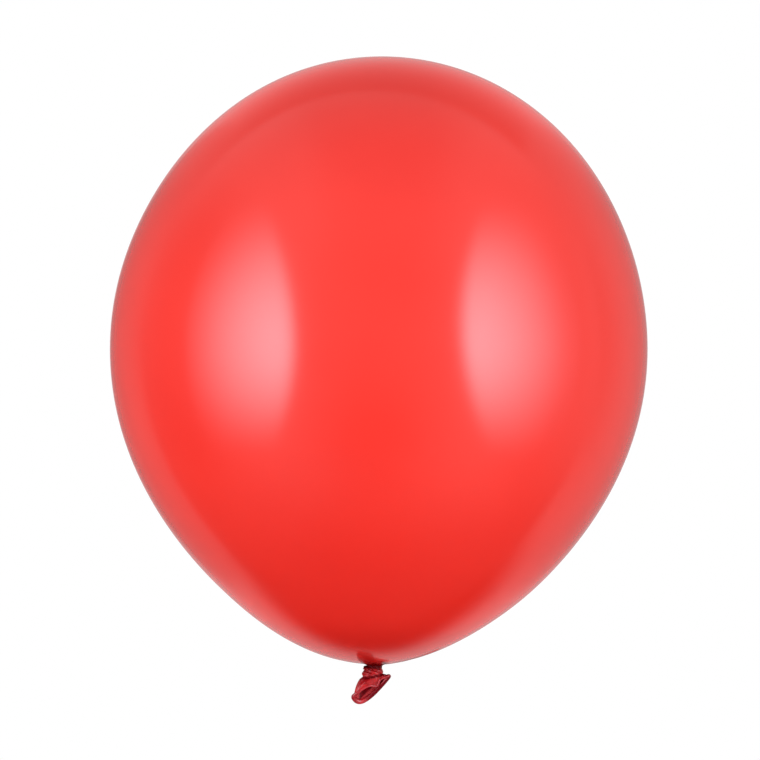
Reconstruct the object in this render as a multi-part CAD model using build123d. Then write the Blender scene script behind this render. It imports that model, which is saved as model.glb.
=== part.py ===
from build123d import *

import os
from math import cos, hypot, pi, radians, sin

# A round latex party balloon, blown up and closed by an overhand knot in its neck.
#
# Millimetres, +Z up. The origin is the waist of the neck, where a ribbon is tied: the blown-up film
# stands above it, and the knot and the loose tail of the neck hang below it. The balloon is one
# dipped skin of latex. It is cut here where the skin changes its form, and where it bends.

# The blown-up film
WIDTH = 300.0  # widest diameter: a balloon sold as 30 cm, or 12 inch
HEIGHT = 339.6  # from the pole beside the neck to the crown
POLE = 0.6  # height of that pole above the waist of the neck
FILM = 0.3  # wall, drawn thicker than the stretched skin
FOOT_ANGLE = radians(4.4)  # where the film ends and the gathered skin begins
FILM_STEPS = 16  # spans of the outline between the foot and the crown

# The gathered skin and the throat that the ribbon is tied round
THROAT_RADIUS = 4.2
THROAT_END = -0.6
GATHER_TOP = 2.6  # how far the bunched skin stands up inside the film

# The neck between the throat and the knot: it twists above, and the knot tilts on it below
STEM_TOP = -0.8
STEM_FLAT = -1.3
STEM_RADIUS = 2.3
BALL_RADIUS = 1.7
BALL_CENTRE = Vector(0, 0, -2.3)
CLEARANCE = 0.3  # between bodies that move on each other

# The knot: a turn of the neck, and the strand that it is pulled tight on
LEAN = 11.0  # degrees that the knot leans, lower on the left
LOOP_CENTRE = Vector(-0.8, 0, -4.3)
LOOP_RADIUS = 3.7
LOOP_HALF_THICKNESS = 1.8
CORE_RADIUS = 3.3
CORE_TOP = -2.6
CORE_BOTTOM_ABOVE_FOLD = 1.0

# The tail: it folds about the line where it leaves the knot
FOLD_BELOW_LOOP = 3.3
ROOT_HALF = (6.6, 1.2)  # half width and half thickness at the fold line
HINGE_LENGTH = 1.6  # of the rounded root, as a share of its half width
MOUTH_HALF = (12.0, 3.4)  # to the middle of the rolled lip
MOUTH_CENTRE = Vector(-1.4, -0.8, -13.7)
MOUTH_LEAN = radians(35)  # of the mouth's long way, up to the right
MOUTH_TURN = radians(35)  # of its short way, from the plane of the knot to the back
SLEEVE_WALL = 0.6
ROOT_WALL = 1.6  # skin left closed at the fold line
MOUTH_OVERCUT = 0.01  # how far the sleeve's inside is cut past the mouth
LIP_RADIUS = 1.05
OVAL_END = 0.62  # radius of an oval's ends, as a share of its half thickness

CUT_SIZE = 30.0  # of the blocks that trim the knot, larger than the knot


def film_half_width(angle):
    """Half width of the film at an angle that runs from 0 at the neck to pi at the crown."""
    fullness = 0.4765 - 0.049 * cos(angle) - 0.0236 * cos(2 * angle) - 0.009 * cos(3 * angle)
    return WIDTH * fullness * sin(angle)


def film_direction(angle):
    """Which way the film's outline runs at that angle, as a unit step out and up."""
    step = 1e-4
    out = (film_half_width(angle + step) - film_half_width(angle - step)) / (2 * step)
    up = HEIGHT / 2 * sin(angle)
    return (out / hypot(out, up), up / hypot(out, up))


def film_point(angle, inset=0.0):
    """A point of the film's outline, moved inwards by inset."""
    out, up = film_direction(angle)
    height = POLE + HEIGHT / 2 * (1 - cos(angle))
    return Vector(film_half_width(angle) - inset * up, 0, height + inset * out)


def film_outline(inset=0.0):
    """The film's outline from its foot to the crown, as one smooth curve."""
    angles = [FOOT_ANGLE + (pi - FOOT_ANGLE) * i / FILM_STEPS for i in range(FILM_STEPS)]
    crown = Vector(0, 0, POLE + HEIGHT - inset)
    out, up = film_direction(FOOT_ANGLE)
    return Spline(
        *[film_point(angle, inset) for angle in angles],
        crown,
        tangents=[Vector(out, 0, up), Vector(-1, 0, 0)],
        tangent_scalars=[1, 1],
    )


def turned(*edges):
    """The solid that a closed outline in the XZ plane makes about the Z axis."""
    return revolve(make_face(list(edges)), Axis.Z, 360)


def make_envelope():
    """The blown-up film: a thin egg, open only at its foot."""
    outer = film_outline()
    inner = film_outline(FILM)
    return turned(outer, Line(outer @ 1, inner @ 1), inner, Line(inner @ 0, outer @ 0))


def make_neck_gather():
    """The skin that gathers into the neck: it closes the film's foot and ends in the throat."""
    foot = film_point(FOOT_ANGLE)
    foot_inside = film_point(FOOT_ANGLE, FILM)
    throat = Vector(THROAT_RADIUS, 0, THROAT_END)
    throat_middle = Vector(0, 0, THROAT_END)
    bunch_top = Vector(0, 0, GATHER_TOP)
    out, up = film_direction(FOOT_ANGLE)
    flare = Spline(foot, throat, tangents=[Vector(-out, 0, -up), Vector(0, 0, -1)])
    return turned(
        Line(foot_inside, foot),
        flare,
        Line(throat, throat_middle),
        Line(throat_middle, bunch_top),
        Line(bunch_top, foot_inside),
    )


def standing_cylinder(radius, bottom, top):
    return Pos(0, 0, bottom) * Cylinder(
        radius, top - bottom, align=(Align.CENTER, Align.CENTER, Align.MIN)
    )


def make_neck_stem():
    """The stretch of neck under the throat, rounded below where the knot tilts on it."""
    ball = Pos(*BALL_CENTRE) * Sphere(BALL_RADIUS)
    below_disc = standing_cylinder(STEM_RADIUS, BALL_CENTRE.Z - BALL_RADIUS, STEM_FLAT)
    return standing_cylinder(STEM_RADIUS, STEM_FLAT, STEM_TOP) + (ball & below_disc)


def knot_plane(drop=0.0):
    """The plane of the turn of neck, moved down its own axis by drop."""
    lean = radians(LEAN)
    down = Vector(sin(lean), 0, -cos(lean))
    along = Vector(cos(lean), 0, sin(lean))
    return Plane(LOOP_CENTRE + down * drop, x_dir=along, z_dir=down)


def ball_socket():
    return Pos(*BALL_CENTRE) * Sphere(BALL_RADIUS + CLEARANCE)


def make_knot_loop():
    """The turn of neck that closes the balloon."""
    return knot_plane() * Torus(LOOP_RADIUS, LOOP_HALF_THICKNESS) - ball_socket()


def make_knot_core(loop):
    """The strand inside the turn: squeezed to a waist by it, and open below for the tail."""
    fold = knot_plane(FOLD_BELOW_LOOP)
    strand = standing_cylinder(CORE_RADIUS, fold.origin.Z - CORE_RADIUS, CORE_TOP)
    below = knot_plane(FOLD_BELOW_LOOP - CORE_BOTTOM_ABOVE_FOLD) * Box(
        CUT_SIZE, CUT_SIZE, CUT_SIZE, align=(Align.CENTER, Align.CENTER, Align.MIN)
    )
    trough = fold * Rot(0, 90, 0) * Cylinder(ROOT_HALF[1] + CLEARANCE, CUT_SIZE)
    return strand - loop - ball_socket() - below - trough


def mouth_plane():
    """The plane of the mouth: x along its long way, y along its short way, z out of it."""
    long_way = Vector(cos(MOUTH_LEAN), 0, sin(MOUTH_LEAN))
    across = Vector(sin(MOUTH_LEAN), 0, -cos(MOUTH_LEAN))
    short_way = across * cos(MOUTH_TURN) + Vector(0, 1, 0) * sin(MOUTH_TURN)
    outwards = short_way.cross(long_way)
    return Plane(MOUTH_CENTRE, x_dir=long_way, z_dir=outwards)


def oval_wire(plane, half_width, half_thickness):
    """An oval of four arcs that run smoothly into each other."""
    end = OVAL_END * half_thickness
    reach = half_width - end
    side = (reach**2 + half_thickness**2 - end**2) / (2 * (half_thickness - end))
    # where the end arc meets the side arc
    slope = hypot(reach, side - half_thickness)
    join_x = reach + end * reach / slope
    join_y = end * (side - half_thickness) / slope
    corners = [(join_x, join_y), (-join_x, join_y), (-join_x, -join_y), (join_x, -join_y)]
    middles = [(0, half_thickness), (-half_width, 0), (0, -half_thickness), (half_width, 0)]
    arcs = []
    for i in range(4):
        arcs.append(ThreePointArc(corners[i], middles[i], corners[(i + 1) % 4]))
    return plane * Wire(arcs)


def sleeve_body(shrink, root_drop, mouth_shift):
    """The sleeve's solid shape, with every half width less by shrink."""
    root = knot_plane(FOLD_BELOW_LOOP + root_drop)
    mouth = mouth_plane().offset(mouth_shift)
    sections = [(root, ROOT_HALF), (mouth, MOUTH_HALF)]
    return Solid.make_loft([oval_wire(plane, a - shrink, b - shrink) for plane, (a, b) in sections])


def make_tail_sleeve(lip):
    """The loose neck beyond the knot: a flattened sleeve that opens into the mouth."""
    half_width, half_thickness = ROOT_HALF
    hinge = Cylinder(half_thickness, half_width * HINGE_LENGTH)
    rounded_root = knot_plane(FOLD_BELOW_LOOP) * Rot(0, 90, 0) * hinge
    outer = sleeve_body(0, 0, 0)
    inner = sleeve_body(SLEEVE_WALL, ROOT_WALL, MOUTH_OVERCUT)
    return outer + rounded_root - inner - lip


def make_rolled_lip():
    """The rolled bead round the mouth."""
    path = oval_wire(mouth_plane(), *MOUTH_HALF)
    section = Plane(path @ 0, z_dir=path % 0) * Circle(LIP_RADIUS)
    return sweep(section, path)


def main():
    lip = make_rolled_lip()
    loop = make_knot_loop()
    nodes = {
        "envelope": make_envelope(),
        "neck_gather": make_neck_gather(),
        "neck_stem": make_neck_stem(),
        "knot_loop": loop,
        "knot_core": make_knot_core(loop),
        "tail_sleeve": make_tail_sleeve(lip),
        "rolled_lip": lip,
    }
    os.makedirs("parts", exist_ok=True)
    for name, shape in nodes.items():
        export_step(shape, f"parts/{name}.step")
        print(name, round(shape.volume, 2), "mm3")


main()
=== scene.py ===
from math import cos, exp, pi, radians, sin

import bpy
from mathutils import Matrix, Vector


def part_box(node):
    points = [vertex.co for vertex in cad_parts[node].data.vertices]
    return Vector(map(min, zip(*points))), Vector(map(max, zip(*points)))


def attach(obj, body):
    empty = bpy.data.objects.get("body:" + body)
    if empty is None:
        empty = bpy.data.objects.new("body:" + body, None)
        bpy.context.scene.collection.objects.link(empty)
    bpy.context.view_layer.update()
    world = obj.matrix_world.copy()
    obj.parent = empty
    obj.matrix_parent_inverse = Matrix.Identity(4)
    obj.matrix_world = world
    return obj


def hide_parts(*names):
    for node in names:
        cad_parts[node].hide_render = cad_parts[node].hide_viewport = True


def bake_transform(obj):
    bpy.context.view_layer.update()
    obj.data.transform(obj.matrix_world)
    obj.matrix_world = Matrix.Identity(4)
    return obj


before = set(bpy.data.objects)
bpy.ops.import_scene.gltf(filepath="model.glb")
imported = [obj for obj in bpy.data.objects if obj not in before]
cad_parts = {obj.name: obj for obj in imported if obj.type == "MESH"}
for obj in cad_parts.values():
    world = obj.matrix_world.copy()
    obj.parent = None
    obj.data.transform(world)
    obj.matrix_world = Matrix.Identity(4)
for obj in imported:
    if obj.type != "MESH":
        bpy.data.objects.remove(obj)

# The looks of a round latex balloon: metres, +Z up, the origin at the waist of its neck.
#
# The balloon is one dipped skin, tied off by a knot in its own neck. Each piece here is the skin of
# one of its forms: the film, the bunched neck, the knot, the loose tail and the rolled lip.

MM = 0.001
AWAY = Vector((0, 1, 0))  # from the camera to the balloon
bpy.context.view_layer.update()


# ---------------------------------------------------------------- small helpers

def smooth(value, low, high):
    """0 at low, 1 at high, and a smooth step between them. Low may be the greater of the two."""
    share = min(1.0, max(0.0, (value - low) / (high - low)))
    return share * share * (3 - 2 * share)


def in_metres(points):
    """Points given in millimetres, as vectors in metres."""
    return [Vector(point) * MM for point in points]


def through(points, share):
    """The point at that share of a smooth curve through the given points."""
    spans = len(points) - 1
    place = min(max(share, 0.0), 1.0) * spans
    i = min(int(place), spans - 1)
    t = place - i
    before = points[max(i - 1, 0)]
    after = points[min(i + 2, spans)]
    first, last = points[i], points[i + 1]
    bend = (first - last) * 2 + (last - before) * 0.5 + (after - first) * 0.5
    rise = (last - first) * 3 - (last - before) - (after - first) * 0.5
    return first + (last - before) * (0.5 * t) + rise * t**2 + bend * t**3


def piece_from(name, points, faces, material):
    """A smooth-shaded piece made of those points and faces."""
    mesh = bpy.data.meshes.new(name)
    mesh.from_pydata([tuple(p) for p in points], [], faces)
    mesh.validate()
    mesh.polygons.foreach_set("use_smooth", [True] * len(mesh.polygons))
    mesh.materials.append(material)
    piece = bpy.data.objects.new(name, mesh)
    bpy.context.scene.collection.objects.link(piece)
    return piece


def ring_faces(rings, count, closed=False):
    """Faces between rings of count points each, laid one after the other."""
    faces = []
    for i in range(rings if closed else rings - 1):
        here, there = i * count, (i + 1) % rings * count
        for k in range(count):
            after = (k + 1) % count
            faces.append((here + k, here + after, there + after, there + k))
    return faces


# ---------------------------------------------------------------- the blown-up film

def film_fullness(angle):
    """Half width of the film over its nominal width. The angle is 0 at the neck and pi at the crown."""
    swell = 0.4765 - 0.049 * cos(angle) - 0.0236 * cos(2 * angle) - 0.009 * cos(3 * angle)
    return swell * sin(angle)


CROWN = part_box("envelope")[1]
FILM_WIDTH = CROWN.x / max(film_fullness(pi * i / 1000) for i in range(1000))
FILM_POLE = 0.6 * MM  # height of the film's pole beside the neck
FILM_HEIGHT = CROWN.z - FILM_POLE
FILM_WALL = 0.3 * MM
FILM_START = radians(4.0)  # where the film's own outline begins, above the gathered skin
FILM_RINGS = 120
FILM_COLUMNS = 192

# the gathered skin between the throat and the film's outline: half widths and heights, in mm
GATHERED = [(3.4, -0.55), (3.9, -0.3), (4.3, 0.0), (4.8, 0.3), (5.6, 0.56), (6.8, 0.8)]
THROAT_INSIDE = 3 * MM
PLEATS = 17
PLEAT_DEPTH = 0.32 * MM
PLEAT_DROP = 0.6  # how far a pleat moves the skin down, as a share of how far it stands out


def pleat(turn):
    """How far a gathered pleat stands up at that angle round the neck, from -1 to 1."""
    return 0.6 * cos(PLEATS * turn + 1.3 * sin(2 * turn)) + 0.4 * cos(9 * turn + 2 * sin(turn) + 1)


def film_section():
    """Half widths and heights of the film's outside, from the throat to the crown."""
    section = [(r * MM, z * MM) for r, z in GATHERED]
    for i in range(FILM_RINGS):
        share = i / FILM_RINGS
        angle = FILM_START + (pi - FILM_START) * (0.75 * share + 0.25 * share**2)
        height = FILM_POLE + FILM_HEIGHT / 2 * (1 - cos(angle))
        section.append((FILM_WIDTH * film_fullness(angle), height))
    return section


def inner_section(outside):
    """The section moved inwards by the film's wall: in and up beside the throat, then shrunk."""
    lowest = len(GATHERED) + 2
    inside = [(max(r - FILM_WALL, THROAT_INSIDE), z + FILM_WALL) for r, z in outside[:lowest]]
    for r, z in outside[lowest:]:
        inside.append((r * (1 - 2 * FILM_WALL / FILM_WIDTH), z + FILM_WALL * cos(pi * z / FILM_HEIGHT)))
    return inside


def lean_at(height):
    """How far to the side the film stands at that height: a real one is never quite straight."""
    upper = 1.4 * MM * smooth(height, 190 * MM, 310 * MM)
    lower = -1.5 * MM * smooth(height, 45 * MM, 8 * MM) * smooth(height, 0.5 * MM, 4 * MM)
    return upper + lower


def film_ring(r, z):
    """The points round the film at that half width and height, with its pleats beside the neck."""
    depth = PLEAT_DEPTH * smooth(r, 26 * MM, 3.5 * MM) * smooth(z, 40 * MM, 20 * MM)
    ring = []
    for k in range(FILM_COLUMNS):
        turn = 2 * pi * k / FILM_COLUMNS
        fold = pleat(turn) * depth
        ring.append((lean_at(z) + (r + fold) * cos(turn), (r + fold) * sin(turn), z - PLEAT_DROP * fold))
    return ring


def make_film(material):
    """The blown-up film: a closed skin with an outside and an inside, pleated at its foot."""
    count = FILM_COLUMNS
    outside = film_section()
    rows = len(outside)
    points = []
    for r, z in outside + inner_section(outside):
        points += film_ring(r, z)
    inner_start = rows * count
    faces = ring_faces(rows, count)
    for face in ring_faces(rows, count):
        faces.append(tuple(inner_start + p for p in reversed(face)))
    # round the throat, the outside meets the inside
    for k in range(count):
        after = (k + 1) % count
        faces.append((after, k, inner_start + k, inner_start + after))
    # a fan closes each of the two at the crown
    for start, height, inwards in ((0, CROWN.z, False), (inner_start, CROWN.z - FILM_WALL, True)):
        points.append((0, 0, height))
        last = start + (rows - 1) * count
        for k in range(count):
            face = (last + k, last + (k + 1) % count, len(points) - 1)
            faces.append(tuple(reversed(face)) if inwards else face)
    return piece_from("blown_up_film", points, faces, material)


# ---------------------------------------------------------------- ropes of bunched skin

ROPE_COLUMNS = 72
PATH_STEP = 0.004  # share of a path over which its direction is taken
NECK_LOBES = 9


def make_rope(name, path, size_at, section, rows, material, closed=False, side=AWAY):
    """Bunched skin along a path: size_at gives its two half sizes and section its folded outline."""
    points = []
    for i in range(rows):
        share = i / (rows if closed else rows - 1)
        here = path(share)
        ahead = (path(share + PATH_STEP) - path(share - PATH_STEP)).normalized()
        across = (side - ahead * side.dot(ahead)).normalized()
        up = ahead.cross(across)
        half_across, half_up = size_at(share)
        for k in range(ROPE_COLUMNS):
            turn = 2 * pi * k / ROPE_COLUMNS
            offset = across * (half_across * cos(turn)) + up * (half_up * sin(turn))
            points.append(here + offset * section(turn, share))
    faces = ring_faces(rows, ROPE_COLUMNS, closed)
    if not closed:
        faces.append(tuple(reversed(range(ROPE_COLUMNS))))
        faces.append(tuple(range((rows - 1) * ROPE_COLUMNS, rows * ROPE_COLUMNS)))
    return piece_from(name, points, faces, material)


def folded_section(lobes, depth, twist, start=0.0):
    """An outline with deep creases between round folds, which turn along the rope.

    The depth is a share of the rope's size. The twist is counted in folds, over the whole rope.
    """
    def reach(turn, share):
        place = lobes * (turn + twist * 2 * pi * share / lobes) + start
        uneven = 0.25 * cos(2 * turn + 5 * share) + 0.2 * cos(3 * turn - 7 * share + 1)
        crease = abs(sin(place / 2 + 0.5 * sin(turn + 4 * share)))
        return 1 - depth + depth * crease**0.6 + 0.12 * depth * uneven
    return reach


def make_neck_skin(material):
    """The bunched skin of the throat, which twists under the film."""
    def path(share):
        return Vector((-0.4 * share, 0, 1.0 - 3.4 * share)) * MM
    def size_at(share):
        half = (3.5 + 0.85 * smooth(share, 0.1, 0.4)) * MM
        return half, half
    folds = folded_section(NECK_LOBES, depth=0.16, twist=0.8)
    return make_rope("neck_skin", path, size_at, folds, rows=26, material=material)


def make_neck_root(material):
    """The skin between the throat and the knot."""
    def path(share):
        return Vector((-0.3 - 1.0 * share, 0, -0.9 - 3.2 * share)) * MM
    def size_at(share):
        half = (3.5 + 2.2 * smooth(share, 0.0, 0.55)) * MM
        return 0.9 * half, half
    folds = folded_section(NECK_LOBES, depth=0.2, twist=1.1, start=2)
    return make_rope("neck_root", path, size_at, folds, rows=30, material=material)


LOOP_LOW, LOOP_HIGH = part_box("knot_loop")
KNOT_SAG = Vector((-0.5, 0, -0.3)) * MM  # the skin lies further left and lower than the CAD's ring
KNOT_CENTRE = (LOOP_LOW + LOOP_HIGH) / 2 + KNOT_SAG
KNOT_LEAN = radians(11)
KNOT_ALONG = Vector((cos(KNOT_LEAN), 0, sin(KNOT_LEAN)))
KNOT_DOWN = Vector((sin(KNOT_LEAN), 0, -cos(KNOT_LEAN)))
TURN_RADIUS = 3.75  # of the knot's turn, to the middle of its skin, in mm


def make_knot_turn(material):
    """The turn of neck, pulled tight: a closed ring of twisted folds."""
    def path(share):
        turn = 2 * pi * share
        ring = KNOT_ALONG * cos(turn) + AWAY * sin(turn)
        wave = KNOT_DOWN * (0.35 * sin(turn + 0.6))
        return KNOT_CENTRE + (ring * TURN_RADIUS + wave) * MM
    def size_at(share):
        turn = 2 * pi * share
        return (2.5 + 0.2 * sin(turn + 2)) * MM, (2.3 + 0.15 * cos(turn)) * MM
    folds = folded_section(lobes=5, depth=0.45, twist=-8)
    return make_rope(
        "knot_turn", path, size_at, folds, rows=200, material=material, closed=True, side=KNOT_DOWN
    )


def make_knot_strand(material):
    """The strand that the turn is pulled tight on."""
    def path(share):
        return KNOT_CENTRE + (KNOT_DOWN * (-2.4 + 5.4 * share) + AWAY * 0.4) * MM
    def size_at(share):
        half = (2.6 + 0.9 * abs(2 * share - 1)) * MM
        return half, half
    folds = folded_section(lobes=6, depth=0.25, twist=0.7)
    return make_rope("knot_strand", path, size_at, folds, rows=30, material=material)


# ---------------------------------------------------------------- the tail and its mouth

# from the knot to the mouth, in mm: the sleeve's two edges, and how far its back and its front
# stand out from the middle between them
TAIL_LEFT = in_metres(
    [(-5.6, 0.3, -6.0), (-8.3, 0.3, -8.0), (-9.9, 0.1, -10.9), (-10.9, -0.3, -14.2), (-11.5, -1.0, -18.4)]
)
TAIL_RIGHT = in_metres(
    [(3.9, 0.3, -4.7), (5.4, 0.2, -5.0), (6.6, 0.0, -5.3), (7.5, -0.3, -5.6), (8.0, -0.5, -6.1)]
)
TAIL_BACK = in_metres(
    [(0, 1.6, -0.2), (0.2, 2.2, -0.6), (0.6, 2.6, -1.3), (1.2, 2.6, -2.1), (1.8, 2.2, -3.2)]
)
TAIL_FRONT = in_metres(
    [(0, -1.6, 0.2), (0, -2.4, 0.3), (-0.1, -2.9, 0.5), (-0.4, -2.9, 0.9), (-0.8, -2.3, 1.3)]
)
TAIL_WALL = 0.35 * MM
TAIL_ROWS = 60
TAIL_COLUMNS = 240
MOUTH_OUT = Vector((0.5, -0.7, -0.5))  # roughly the way that the mouth faces
GROOVE_TURN = 4.2  # where round the rolled lip its shallow groove runs
FOLD_TURN = 5.06  # where round the mouth its front edge folds over
FOLD_DROP = Vector((0.6, 1.2, -2.6)) * MM  # how far that fold hangs over the mouth


def front_fold(turn):
    """How deep the fold of the mouth's front edge hangs: steep on its right, slow on its left."""
    width = 0.28 if turn < FOLD_TURN else 0.15
    return exp(-(((turn - FOLD_TURN) / width) ** 2))


def tail_point(turn, share):
    """A point of the flattened sleeve: turn goes round it, share from the knot to the mouth."""
    turn = turn % (2 * pi)
    left, right = through(TAIL_LEFT, share), through(TAIL_RIGHT, share)
    behind = sin(turn) > 0
    depth = through(TAIL_BACK if behind else TAIL_FRONT, share)
    centre, half = (left + right) / 2, (right - left) / 2
    crumple = 0.14 * (1 - smooth(share, 0.1, 0.95))
    ripple = crumple * cos(5 * turn + 4 * share) + 0.6 * crumple * cos(9 * turn - 3 * share + 1)
    sag = (0.76 if behind else 0.3) * smooth(share, 0.3, 1)
    thickness = abs(sin(turn)) ** 0.8 * (1 + ripple) * (1 - sag * cos(turn))
    fold = FOLD_DROP * (front_fold(turn) * smooth(share, 0.3, 1))
    return centre + half * cos(turn) + depth * thickness + fold


def make_tail_sleeve(material, inside):
    """The loose neck beyond the knot: a flattened sleeve of slack skin, open at the mouth."""
    points = []
    for i in range(TAIL_ROWS):
        for k in range(TAIL_COLUMNS):
            points.append(tail_point(2 * pi * k / TAIL_COLUMNS, i / (TAIL_ROWS - 1)))
    outwards = [tuple(reversed(face)) for face in ring_faces(TAIL_ROWS, TAIL_COLUMNS)]
    piece = piece_from("tail_sleeve_skin", points, outwards, material)
    # the second material, for the inner wall, is the painted shade of the mouth's inside
    piece.data.materials.append(inside)
    wall = piece.modifiers.new("wall", "SOLIDIFY")
    wall.material_offset = 1
    wall.thickness = TAIL_WALL
    wall.offset = -1
    return piece


def make_rolled_lip(material):
    """The rolled bead round the mouth: fat along the back and at its low end, thin along the front."""
    def path(share):
        return tail_point(2 * pi * share, 1.0)
    def size_at(share):
        turn = 2 * pi * share
        back = 0.25 * smooth(sin(turn), 0, 0.9)
        front = 0.5 * smooth(-sin(turn), 0, 0.9)
        low_end = 0.35 * smooth(-cos(turn), 0.4, 1)
        half = (1.1 + back - front + low_end) * MM
        return half, half
    def roll(turn, share):
        groove = exp(-((turn - GROOVE_TURN) / 0.35) ** 2)
        return 1 - 0.12 * groove
    return make_rope(
        "rolled_lip_bead", path, size_at, roll, rows=300, material=material, closed=True, side=MOUTH_OUT
    )


# ---------------------------------------------------------------- materials

class Nodes:
    """A short way to write a material's nodes."""

    def __init__(self, tree):
        self.tree = tree

    def join(self, value, socket):
        """Links an output to the socket, or sets the socket to a plain value."""
        if isinstance(value, bpy.types.NodeSocket):
            self.tree.links.new(value, socket)
        else:
            socket.default_value = value

    def add(self, kind, inputs=(), **settings):
        """A new node with those settings and with its inputs joined, by name or number."""
        node = self.tree.nodes.new(kind)
        for name, value in settings.items():
            setattr(node, name, value)
        for socket, value in dict(inputs).items():
            self.join(value, node.inputs[socket])
        return node

    def math(self, operation, *values):
        """The result of that operation on numbers or outputs."""
        return self.add("ShaderNodeMath", enumerate(values), operation=operation).outputs[0]

    def noise(self, place, scale, detail):
        """Soft noise round 0.5. The scale is in cells per metre."""
        node = self.add("ShaderNodeTexNoise", {"Vector": place, "Scale": scale, "Detail": detail})
        return node.outputs["Fac"]

    def ramp(self, value, low, high, to_low=0.0, to_high=1.0):
        """A smooth step from to_low at low to to_high at high."""
        node = self.add(
            "ShaderNodeMapRange", {0: value, 1: low, 2: high, 3: to_low, 4: to_high},
            interpolation_type="SMOOTHSTEP",
        )
        return node.outputs[0]

    def mix(self, share, first, second):
        """The first colour, or the second where the share is 1."""
        node = self.add("ShaderNodeMix", {0: share, 6: first, 7: second}, data_type="RGBA")
        return node.outputs[2]

    def place(self):
        """The place on the piece, as a vector and as its three parts."""
        place = self.add("ShaderNodeTexCoord").outputs["Object"]
        parts = self.add("ShaderNodeSeparateXYZ", {0: place}).outputs
        return place, parts[0], parts[1], parts[2]


def new_material(name):
    """A material with nothing but a shader and its output, and the helper for its nodes."""
    material = bpy.data.materials.new(name)
    material.use_nodes = True
    nodes = Nodes(material.node_tree)
    shader = material.node_tree.nodes["Principled BSDF"]
    return material, nodes, shader


def add_grain(nodes, shader, height, strength, distance):
    """Fine relief on the shader's surface."""
    bump = nodes.add("ShaderNodeBump", {"Strength": strength, "Distance": distance, "Height": height})
    nodes.join(bump.outputs[0], shader.inputs["Normal"])


# the tongues mark where a dark reflection of the knot and tail is painted on the film
TONGUES = 5
TONGUE_WIND = -6.95  # how far they wind per metre of radius, in steps from one tongue to the next
TONGUE_START = 1.72  # where they begin beside the neck, in the same steps


def painted_reflection_mask(nodes, x, y, z, radius):
    """1 on the five tongues that wind out from the neck, where a dark reflection of the knot and tail is
    painted.
    """
    turn = nodes.math("ARCTAN2", y, x)
    wind = nodes.math("MULTIPLY_ADD", radius, TONGUE_WIND, TONGUE_START)
    wound = nodes.math("MULTIPLY_ADD", turn, TONGUES / (2 * pi), wind)
    past_root = nodes.math("SUBTRACT", 1.0, nodes.math("FRACT", wound))
    step_out = nodes.ramp(past_root, 0.68, 0.86, 11 * MM, 21 * MM)
    reach = nodes.math("MULTIPLY_ADD", past_root, 21 * MM, step_out)
    on_tongue = nodes.ramp(nodes.math("SUBTRACT", radius, reach), 2 * MM, -2 * MM)
    return nodes.math("MULTIPLY", on_tongue, nodes.ramp(z, 30 * MM, 20 * MM))


def film_colour(nodes, x, z, radius, mottle, tongues):
    """Red that is deeper low down and on the right, and darkest in the tongues and the throat: painted
    shade, and a painted reflection of the knot and tail on the tongues.
    """
    pale = (0.66, 0.0190, 0.0100, 1)
    deep = (0.63, 0.0150, 0.0075, 1)
    # painted shade: right, low, foot and throat; painted reflection: tongue; painted light: lit_edge
    right = (0.585, 0.0165, 0.0085, 1)
    low = (0.50, 0.006, 0.0025, 1)
    foot = (0.32, 0.002, 0.0008, 1)
    lit_edge = (1.0, 0.03, 0.02, 1)
    tongue = (0.24, 0.0035, 0.0025, 1)
    throat = (0.10, 0.0006, 0.001, 1)
    colour = nodes.mix(nodes.ramp(mottle, 0.3, 0.7), deep, pale)
    # painted shade: the film's right side is darker
    colour = nodes.mix(nodes.ramp(x, 60 * MM, 130 * MM), colour, right)
    # painted shade: darker low down and darkest at the foot, where little light comes from below
    colour = nodes.mix(nodes.math("MULTIPLY", nodes.ramp(z, 120 * MM, 0.0), 0.5), colour, low)
    colour = nodes.mix(nodes.ramp(z, 32 * MM, 0.0, 0.0, 0.75), colour, foot)
    # light shines through the edges of the film, most at the crown and the foot
    facing = nodes.add("ShaderNodeLayerWeight", {"Blend": 0.5}).outputs["Facing"]
    near_crown = nodes.ramp(z, 250 * MM, 330 * MM)
    near_foot = nodes.ramp(z, 80 * MM, 20 * MM, 0.0, 0.5)
    ends = nodes.math("MAXIMUM", near_crown, near_foot)
    colour = nodes.mix(nodes.math("MULTIPLY", nodes.ramp(facing, 0.45, 0.95), ends), colour, lit_edge)
    # painted reflection: the dark knot and tail, mirrored in the film beside the neck, painted on the
    # tongues
    on_painted_reflection = nodes.math("MULTIPLY", tongues, nodes.ramp(radius, 55 * MM, 15 * MM))
    colour = nodes.mix(on_painted_reflection, colour, tongue)
    # painted shade in the throat, where the neck meets the film
    throat_shade_mask = nodes.math("MULTIPLY", nodes.ramp(radius, 13 * MM, 5 * MM), nodes.ramp(z, 30 * MM, 20 * MM))
    return nodes.mix(throat_shade_mask, colour, throat)


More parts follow.
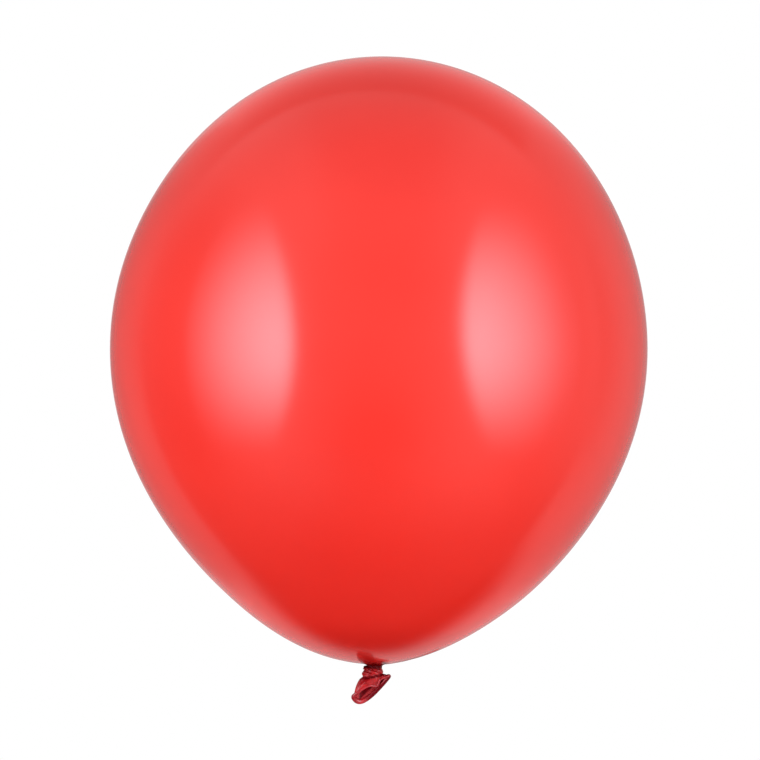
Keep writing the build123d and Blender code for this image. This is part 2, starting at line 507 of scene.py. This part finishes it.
def film_latex():
    """Stretched latex: bright and glossy, with a painted reflection of the knot and tail beside the neck:
    dark, dull tongues.
    """
    material, nodes, shader = new_material("film_latex")
    place, x, y, z = nodes.place()
    flat = nodes.add("ShaderNodeCombineXYZ", {0: x, 1: y}).outputs[0]
    radius = nodes.add("ShaderNodeVectorMath", {0: flat}, operation="LENGTH").outputs["Value"]
    tongues = painted_reflection_mask(nodes, x, y, z, radius)
    mottle = nodes.noise(place, 9.0, 3.0)
    nodes.join(film_colour(nodes, x, z, radius, mottle, tongues), shader.inputs["Base Color"])
    # painted reflection: little gloss and no coat on the tongues, so the studio's light isn't mirrored
    # there
    nodes.join(nodes.ramp(tongues, 0.0, 1.0, 0.5, 0.03), shader.inputs["Specular IOR Level"])
    nodes.join(nodes.ramp(tongues, 0.0, 1.0, 0.15, 0.0), shader.inputs["Coat Weight"])
    nodes.join(nodes.math("ADD", nodes.math("MULTIPLY", mottle, 0.05), 0.15), shader.inputs["Roughness"])
    add_grain(nodes, shader, nodes.noise(place, 1400.0, 2.0), 0.02, 0.1 * MM)
    shader.inputs["IOR"].default_value = 1.5
    shader.inputs["Coat Roughness"].default_value = 0.06
    return material


def shaded_places(nodes, x, z, to_lower_right):
    """1 where slack skin lies in its own shade, which is nearly the same in every pose."""
    neck = nodes.ramp(z, -2.5 * MM, -1.1 * MM)
    outer_side = nodes.ramp(to_lower_right, 9.6 * MM, 10.6 * MM)
    under_roll = nodes.math("MULTIPLY", outer_side, nodes.ramp(x, -6 * MM, -1 * MM))
    # the crease where the tail leaves the knot
    down_knot = nodes.math("MULTIPLY_ADD", x, KNOT_DOWN.x, nodes.math("MULTIPLY", z, KNOT_DOWN.z))
    crease_at = KNOT_CENTRE.dot(KNOT_DOWN) + 1.8 * MM
    from_crease = nodes.math("ABSOLUTE", nodes.math("SUBTRACT", down_knot, crease_at))
    crease = nodes.ramp(from_crease, 1.4 * MM, 0.3 * MM, 0.0, 0.8)
    left_end = nodes.ramp(x, -11.0 * MM, -12.4 * MM, 0.0, 0.6)
    on_knot = nodes.math("MAXIMUM", neck, crease)
    on_mouth = nodes.math("MAXIMUM", under_roll, left_end)
    return nodes.math("MAXIMUM", on_knot, on_mouth)


def lit_inside(nodes, x, to_lower_right):
    """1 on the back wall of the mouth and at its low end, which face the light."""
    far_down = nodes.ramp(to_lower_right, 7.4 * MM, 8.5 * MM)
    back_wall = nodes.math("MULTIPLY", far_down, nodes.ramp(x, 2 * MM, 0.0))
    low_end = nodes.ramp(x, -7.5 * MM, -9.5 * MM)
    return nodes.math("MAXIMUM", back_wall, low_end)


def slack_latex(name, pale, deep, shaded, gloss, lit=None):
    """Slack latex: thick, deep in colour, with fine wrinkles and a soft gloss.

    It runs from deep to pale in patches, and is shaded in its folds. Inside the mouth it is also lit.
    """
    material, nodes, shader = new_material(name)
    place, x, _, z = nodes.place()
    to_lower_right = nodes.math("MULTIPLY_ADD", x, 0.7, nodes.math("MULTIPLY", z, -0.7))
    patches = nodes.noise(place, 260.0, 3.0)
    colour = nodes.mix(nodes.ramp(patches, 0.35, 0.65), deep, pale)
    if lit:
        colour = nodes.mix(lit_inside(nodes, x, to_lower_right), colour, lit)
    dark = shaded_places(nodes, x, z, to_lower_right)
    nodes.join(nodes.mix(dark, colour, shaded), shader.inputs["Base Color"])
    nodes.join(nodes.ramp(dark, 0.0, 1.0, gloss, 0.07), shader.inputs["Specular IOR Level"])
    nodes.join(nodes.math("ADD", nodes.math("MULTIPLY", patches, 0.16), 0.20), shader.inputs["Roughness"])
    add_grain(nodes, shader, nodes.noise(place, 900.0, 3.0), 0.25, 0.3 * MM)
    return material


# ---------------------------------------------------------------- studio and camera

LIGHT_DISTANCE = 1.3
LIGHT_HEIGHT = 2.8
LIGHT_ELEVATION = 2  # degrees


def direction(azimuth, elevation):
    """A direction from the balloon: azimuth 0 is towards the camera, positive to its right."""
    a, e = radians(azimuth), radians(elevation)
    return Vector((sin(a) * cos(e), -cos(a) * cos(e), sin(e)))


def panel_material(name, side, strength, fade, bow):
    """Light that is brightest along the panel's inner side and fades outwards, up and down.

    The fade gives where across the panel the light begins to dim and where it is nearly gone, and the
    bow gives the curve and the slope of the inner side. Both are in shares of the panel's size.
    """
    material = bpy.data.materials.new(name)
    material.use_nodes = True
    nodes = Nodes(material.node_tree)
    nodes.tree.nodes.clear()
    _, x, y, _ = nodes.place()
    outwards = nodes.math("MULTIPLY", x, -side)
    across = nodes.ramp(outwards, *fade, 1.0, 0.04)
    above = nodes.ramp(y, 0.0, 0.5, 1.0, 0.0)
    below = nodes.ramp(y, 0.0, -0.38, 1.0, 0.0)
    upright = nodes.math("MULTIPLY", above, below)
    # the inner side is bowed, and leans outwards at the top
    curve, slope = bow
    bowed = nodes.math("MULTIPLY", nodes.math("MULTIPLY_ADD", y, curve, slope), y)
    inner = nodes.ramp(nodes.math("SUBTRACT", outwards, bowed), -0.5, -0.355)
    spread = nodes.math("MULTIPLY", across, upright)
    power = nodes.math("MULTIPLY", spread, nodes.math("MULTIPLY", inner, strength))
    light = nodes.add("ShaderNodeEmission", {"Color": (1, 0.98, 1.1, 1), "Strength": power})
    clear = nodes.add("ShaderNodeBsdfTransparent")
    both = nodes.add("ShaderNodeAddShader", {0: light.outputs[0], 1: clear.outputs[0]})
    nodes.add("ShaderNodeOutputMaterial", {0: both.outputs[0]})
    return material


def make_side_light(name, middle, side, azimuth, width, strength, fade, bow):
    """A tall soft light beside the camera: side is -1 on its left and 1 on its right."""
    mesh = bpy.data.meshes.new(name)
    corners = [(-0.5, -0.5, 0), (0.5, -0.5, 0), (0.5, 0.5, 0), (-0.5, 0.5, 0)]
    mesh.from_pydata(corners, [], [(0, 1, 2, 3)])
    mesh.materials.append(panel_material(name, side, strength, fade, bow))
    panel = bpy.data.objects.new(name, mesh)
    bpy.context.scene.collection.objects.link(panel)
    centre = middle + direction(azimuth, LIGHT_ELEVATION) * LIGHT_DISTANCE
    turn = (middle - centre).to_track_quat("Z", "Y")
    panel.matrix_world = Matrix.LocRotScale(centre, turn, Vector((width, LIGHT_HEIGHT, 1)))
    panel.visible_camera = False
    panel.visible_shadow = False


def make_back_light(middle):
    """A light behind the balloon for its edges and its back. It isn't mirrored in the film."""
    size, radiance = 1.5, 2.0
    lamp = bpy.data.lights.new("soft_light_back", "AREA")
    lamp.size = size
    lamp.energy = radiance * pi * size**2
    holder = bpy.data.objects.new("soft_light_back", lamp)
    bpy.context.scene.collection.objects.link(holder)
    centre = middle + Vector((-0.4, 1.3, 0.1))
    holder.matrix_world = Matrix.Translation(centre) @ Matrix.Rotation(radians(-90), 4, "X")
    holder.visible_camera = False
    holder.visible_glossy = False


def make_lights():
    """Two tall soft lights in front, turned to the film's widest part, and one behind it."""
    middle = Vector((0, 0, 182 * MM))
    make_side_light(
        "soft_light_left", middle, side=-1, azimuth=-57.8,
        width=1.32, strength=6.6, fade=(-0.40, 0.56), bow=(2.7, 0.14),
    )
    make_side_light(
        "soft_light_right", middle, side=1, azimuth=59.8,
        width=1.47, strength=6.8, fade=(-0.47, 0.5), bow=(2.35, -0.16),
    )
    make_back_light(middle)


def room_light(nodes, across, depth, height):
    """The room's brightness: dimmer towards the back and the floor, with pale walls and ceiling."""
    wide = nodes.math("ABSOLUTE", across)
    left_side = nodes.ramp(across, -0.6, -0.95, 0.0, 0.1)
    room = nodes.math("SUBTRACT", nodes.ramp(depth, -0.7, 0.3, 0.86, 0.5), left_side)
    rise = nodes.math("MULTIPLY_ADD", depth, -0.6, height)
    room = nodes.math("MULTIPLY", room, nodes.ramp(rise, -1.3, -0.05))
    # it is dimmest low in front, round the camera
    in_front = nodes.math("MULTIPLY", nodes.ramp(wide, 0.68, 0.05), nodes.ramp(depth, 0.1, -0.2))
    dark = nodes.math("MULTIPLY", nodes.ramp(height, 0.1, -0.7, 0.22, 0.6), in_front)
    room = nodes.math("MULTIPLY", room, nodes.math("SUBTRACT", 1.0, dark))
    sides = nodes.ramp(wide, 0.25, 0.5)
    high_side = nodes.math("MULTIPLY", sides, nodes.ramp(height, 0.3, 0.8, 0.0, 0.16))
    far_right = nodes.ramp(across, 0.7, 0.95)
    right_side = nodes.math("MULTIPLY", far_right, nodes.ramp(depth, -0.1, 0.15, 0.0, 0.2))
    walls = nodes.math("ADD", high_side, right_side)
    overhead = nodes.ramp(height, 0.45, 0.95, 0.0, 0.14)
    return nodes.math("ADD", room, nodes.math("ADD", walls, overhead))


def backdrop_light(nodes, across, height):
    """The backdrop's brightness: a bright middle that widens up and down, and dimmer wings."""
    wide = nodes.math("ABSOLUTE", across)
    level = nodes.math("MULTIPLY", height, height)
    wings = nodes.math("MULTIPLY_ADD", level, 0.35, nodes.ramp(wide, 0.5, 0.85, 0.28, 0.44))
    wings = nodes.math("ADD", wings, nodes.ramp(across, -0.1, 0.3, 0.0, 0.07))
    half_width = nodes.math("MULTIPLY_ADD", level, 0.7, 0.23)
    bright = nodes.ramp(nodes.math("SUBTRACT", half_width, wide), -0.03, 0.03)
    centre = nodes.ramp(height, 0.4, 0.8, 0.50, 0.36)
    backdrop = nodes.math("MULTIPLY_ADD", nodes.math("SUBTRACT", centre, wings), bright, wings)
    return nodes.math("MULTIPLY", backdrop, nodes.ramp(height, -0.80, -0.58))


def make_world():
    """A white studio round the balloon: a room, and a backdrop behind the balloon."""
    world = bpy.data.worlds.new("studio")
    world.use_nodes = True
    nodes = Nodes(world.node_tree)
    nodes.tree.nodes.clear()
    looking = nodes.add("ShaderNodeTexCoord").outputs["Generated"]
    parts = nodes.add("ShaderNodeSeparateXYZ", {0: looking}).outputs
    across, depth, height = parts[0], parts[1], parts[2]
    room = room_light(nodes, across, depth, height)
    backdrop = backdrop_light(nodes, across, height)
    behind = nodes.ramp(nodes.math("MULTIPLY_ADD", across, 0.12, depth), 0.38, 0.46)
    light = nodes.math("MULTIPLY_ADD", nodes.math("SUBTRACT", backdrop, room), behind, room)
    # the camera itself sees plain white
    seen = nodes.add("ShaderNodeLightPath").outputs["Is Camera Ray"]
    strength = nodes.add("ShaderNodeMix", {0: seen, 2: light, 3: 1.0}, data_type="FLOAT").outputs[0]
    background = nodes.add("ShaderNodeBackground", {"Color": (1, 1, 1, 1), "Strength": strength})
    nodes.add("ShaderNodeOutputWorld", {0: background.outputs[0]})
    bpy.context.scene.world = world


def make_floor():
    """A plain pale floor, well below the balloon."""
    corners = 96
    radius, height = 1.0, -0.55
    rim = []
    for k in range(corners):
        turn = 2 * pi * k / corners
        rim.append((radius * cos(turn), radius * sin(turn), height))
    material, _, shader = new_material("pale_floor")
    shader.inputs["Base Color"].default_value = (0.86, 0.86, 0.86, 1)
    shader.inputs["Roughness"].default_value = 0.9
    floor = piece_from("floor", rim, [tuple(range(corners))], material)
    floor.visible_glossy = False


def make_camera():
    """A long lens, level with the middle between the crown and the mouth, with a slight roll."""
    distance = 2.2
    view_width = 0.4254  # at the balloon
    roll = radians(-0.73)
    camera = bpy.data.cameras.new("camera")
    camera.sensor_width = 36
    camera.lens = camera.sensor_width * distance / view_width
    holder = bpy.data.objects.new("camera", camera)
    bpy.context.scene.collection.objects.link(holder)
    holder.matrix_world = (
        Matrix.Translation((0.9 * MM, -distance, 159.5 * MM))
        @ Matrix.Rotation(roll, 4, "Y")
        @ Matrix.Rotation(radians(90), 4, "X")
    )
    bpy.context.scene.camera = holder


# ---------------------------------------------------------------- the whole balloon

film_skin = film_latex()
slack_skin = slack_latex(
    "slack_latex",
    pale=(0.41, 0.009, 0.011, 1),
    deep=(0.25, 0.003, 0.005, 1),
    shaded=(0.08, 0.0005, 0.002, 1),
    gloss=0.3,
)
# painted shade: the mouth's inside is a darker, less glossy copy of the slack skin, with its back wall
# painted lit
shaded_inside_skin = slack_latex(
    "shaded_inside_latex",
    pale=(0.17, 0.001, 0.004, 1),
    deep=(0.08, 0.0005, 0.002, 1),
    shaded=(0.06, 0.0005, 0.002, 1),
    gloss=0.05,
    lit=(0.44, 0.032, 0.036, 1),
)
bead_skin = slack_latex(
    "bead_latex",
    pale=(0.40, 0.012, 0.018, 1),
    deep=(0.26, 0.004, 0.008, 1),
    shaded=(0.12, 0.001, 0.004, 1),
    gloss=0.6,
)

film = make_film(film_skin)
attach(film, "envelope")
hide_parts("envelope", "neck_gather")

neck_skin = make_neck_skin(slack_skin)
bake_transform(neck_skin)
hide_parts("neck_stem")

neck_root = make_neck_root(slack_skin)
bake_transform(neck_root)

knot_turn = make_knot_turn(slack_skin)
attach(knot_turn, "knot")
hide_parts("knot_loop")

knot_strand = make_knot_strand(slack_skin)
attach(knot_strand, "knot")
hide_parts("knot_core")

tail = make_tail_sleeve(slack_skin, shaded_inside_skin)
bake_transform(tail)
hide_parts("tail_sleeve")

lip = make_rolled_lip(bead_skin)
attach(lip, "tail")
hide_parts("rolled_lip")

make_world()
make_lights()
make_floor()
make_camera()
bpy.context.scene.view_settings.view_transform = "Standard"
